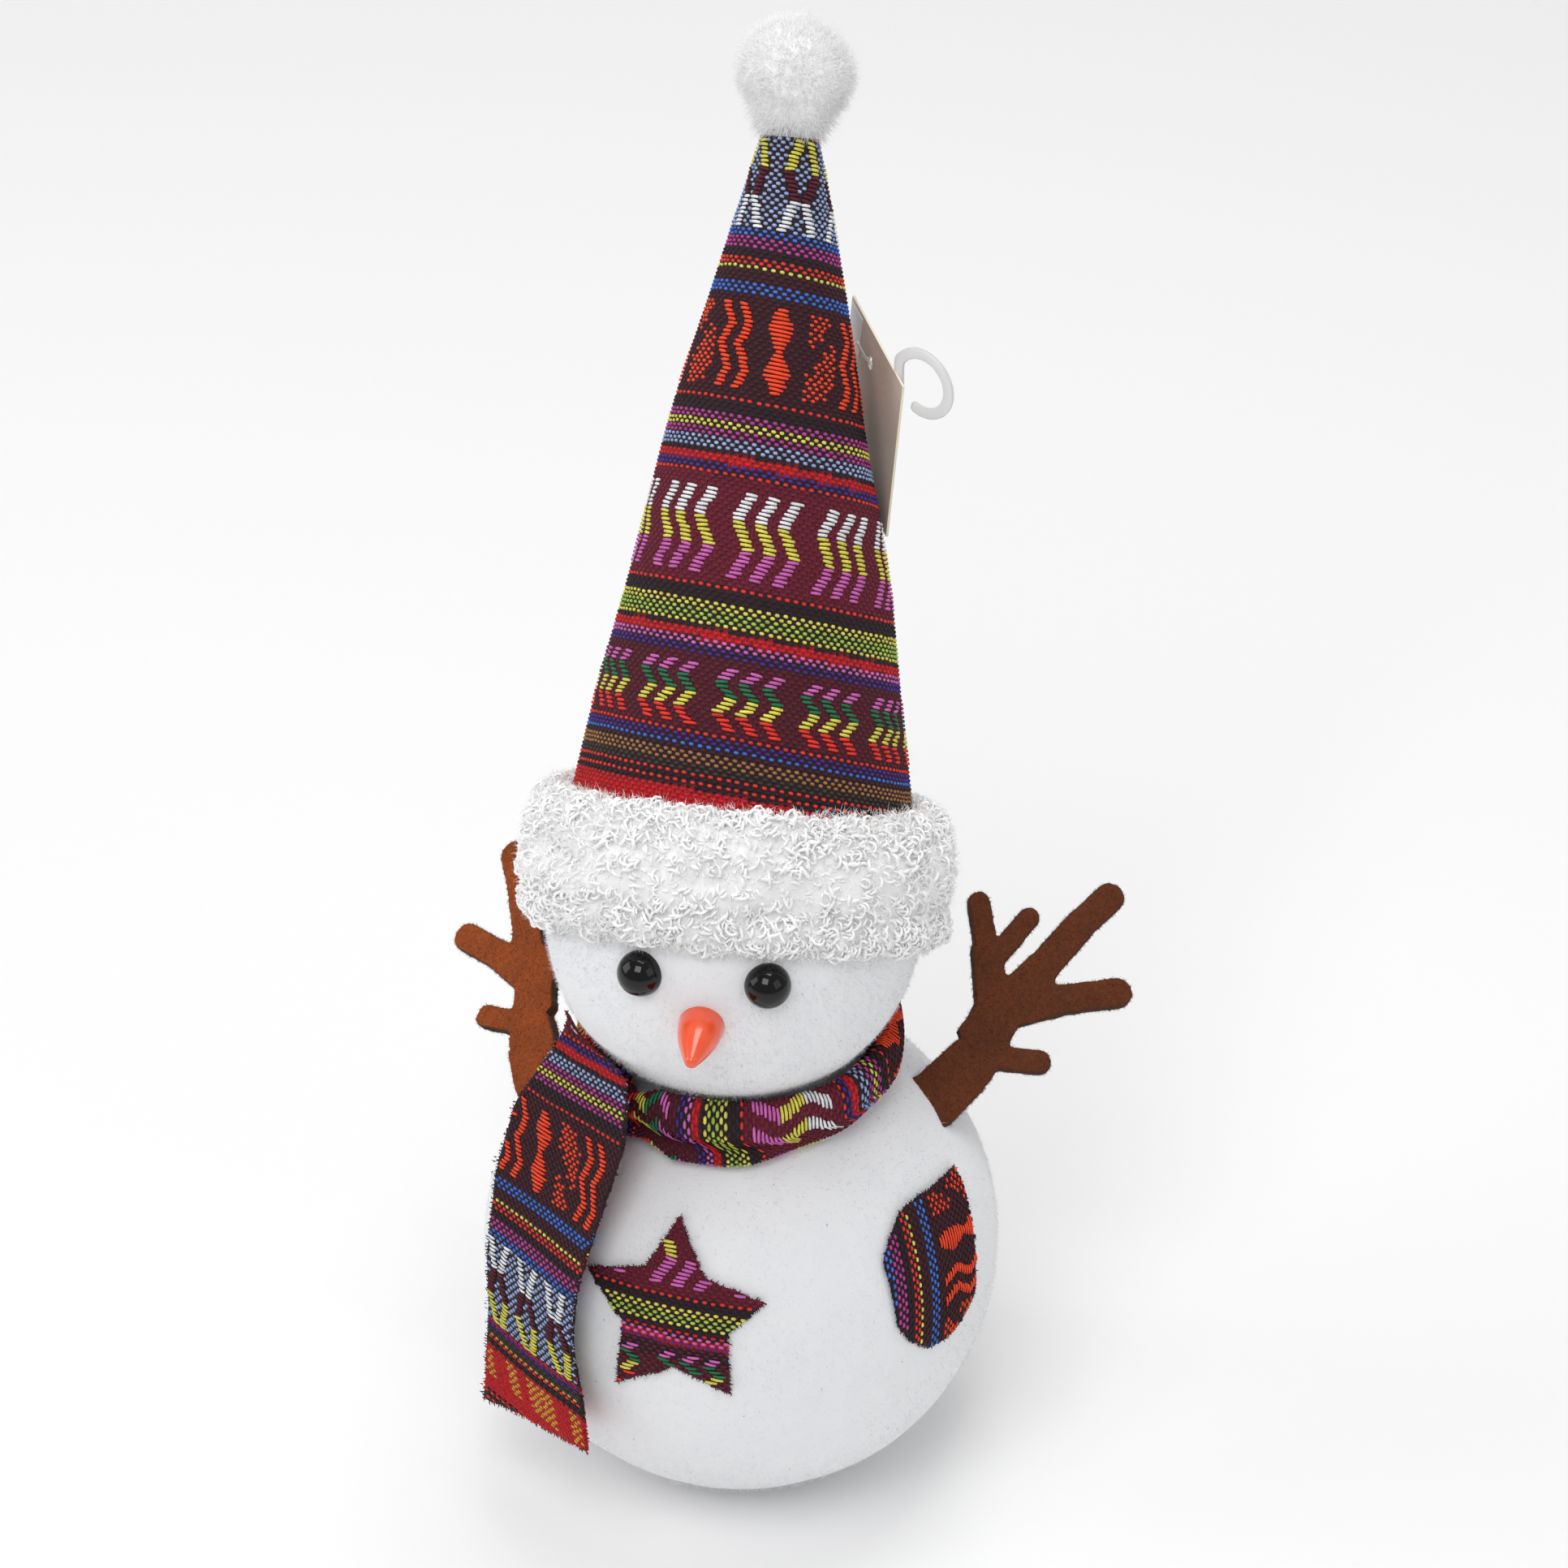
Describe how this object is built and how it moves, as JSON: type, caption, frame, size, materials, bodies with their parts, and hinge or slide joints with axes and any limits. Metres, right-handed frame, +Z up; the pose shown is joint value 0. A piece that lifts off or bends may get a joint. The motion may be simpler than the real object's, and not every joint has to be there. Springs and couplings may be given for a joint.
{
  "type": "snowman figure",
  "caption": "Standing soft snowman figure with two fleece balls, tall striped hat with pompom, scarf, twig arms, cloth patches and a hang tag.",
  "frame": {"origin": "centre of the flat base, on the surface that the figure stands on", "axes": "+Z up, the face looks along -Y, +X to the viewer's right as the face is seen"},
  "size_m": [0.1531, 0.1591, 0.2991],
  "materials": {
    "foam": "matte",
    "white_fleece": "matte",
    "base_felt": "matte",
    "weight_iron": "matte",
    "dowel_wood": "matte",
    "eye_plastic": "gloss",
    "nose_plastic": "gloss",
    "woven_cloth": "matte",
    "liner_board": "matte",
    "boucle_trim": "matte",
    "white_thread": "matte",
    "pompom_yarn": "matte",
    "scarf_cloth": "matte",
    "patch_cloth": "matte",
    "brown_felt": "matte",
    "tag_board": "matte",
    "label_paper": "matte",
    "clear_nylon": "gloss",
    "clear_plastic": "gloss"
  },
  "bodies": {
    "figure": {"body_core": "foam", "body_fleece": "white_fleece", "base_pad": "base_felt", "base_weight": "weight_iron", "neck_dowel": "dowel_wood", "head_core": "foam", "head_fleece": "white_fleece", "eye_left": "eye_plastic", "eye_right": "eye_plastic", "nose": "nose_plastic", "hat_cloth": "woven_cloth", "hat_liner": "liner_board", "hat_trim": "boucle_trim", "pompom_stitch": "white_thread", "scarf_collar": "scarf_cloth", "star_patch": "patch_cloth", "side_patch": "patch_cloth", "arm_left_tab": "brown_felt", "arm_right_tab": "brown_felt"},
    "pompom": {"pompom": "pompom_yarn"},
    "scarf_tail": {"scarf_tail": "scarf_cloth"},
    "arm_left": {"arm_left": "brown_felt"},
    "arm_right": {"arm_right": "brown_felt"},
    "tag": {"tag_card": "tag_board", "tag_label": "label_paper", "tag_thread": "clear_nylon", "tag_hook": "clear_plastic"}
  },
  "joints": [
    {"name": "arm_right_flex", "type": "hinge", "parent": "figure", "child": "arm_right", "pos_m": [0.04382, 0.00972, 0.08833], "axis": [0.6267, -0.5058, -0.5928], "range_deg": [-20, 20], "stiffness_Nm_per_rad": 0.05},
    {"name": "arm_left_flex", "type": "hinge", "parent": "figure", "child": "arm_left", "pos_m": [-0.04866, 0.01556, 0.0786], "axis": [-0.6881, -0.3491, -0.6361], "range_deg": [-20, 20], "stiffness_Nm_per_rad": 0.05},
    {"name": "pompom_nod", "type": "hinge", "parent": "figure", "child": "pompom", "pos_m": [-0.00367, 0.08129, 0.27741], "axis": [1, 0, 0], "range_deg": [-12, 12], "stiffness_Nm_per_rad": 0.02},
    {"name": "scarf_swing", "type": "hinge", "parent": "figure", "child": "scarf_tail", "pos_m": [-0.03474, -0.01724, 0.10879], "axis": [-0.703, 0.6556, -0.2756], "range_deg": [0, 60]},
    {"name": "tag_swing", "type": "hinge", "parent": "figure", "child": "tag", "pos_m": [0.01394, 0.05999, 0.24052], "axis": [0.4271, -0.9042, 0], "range_deg": [0, 60]}
  ]
}
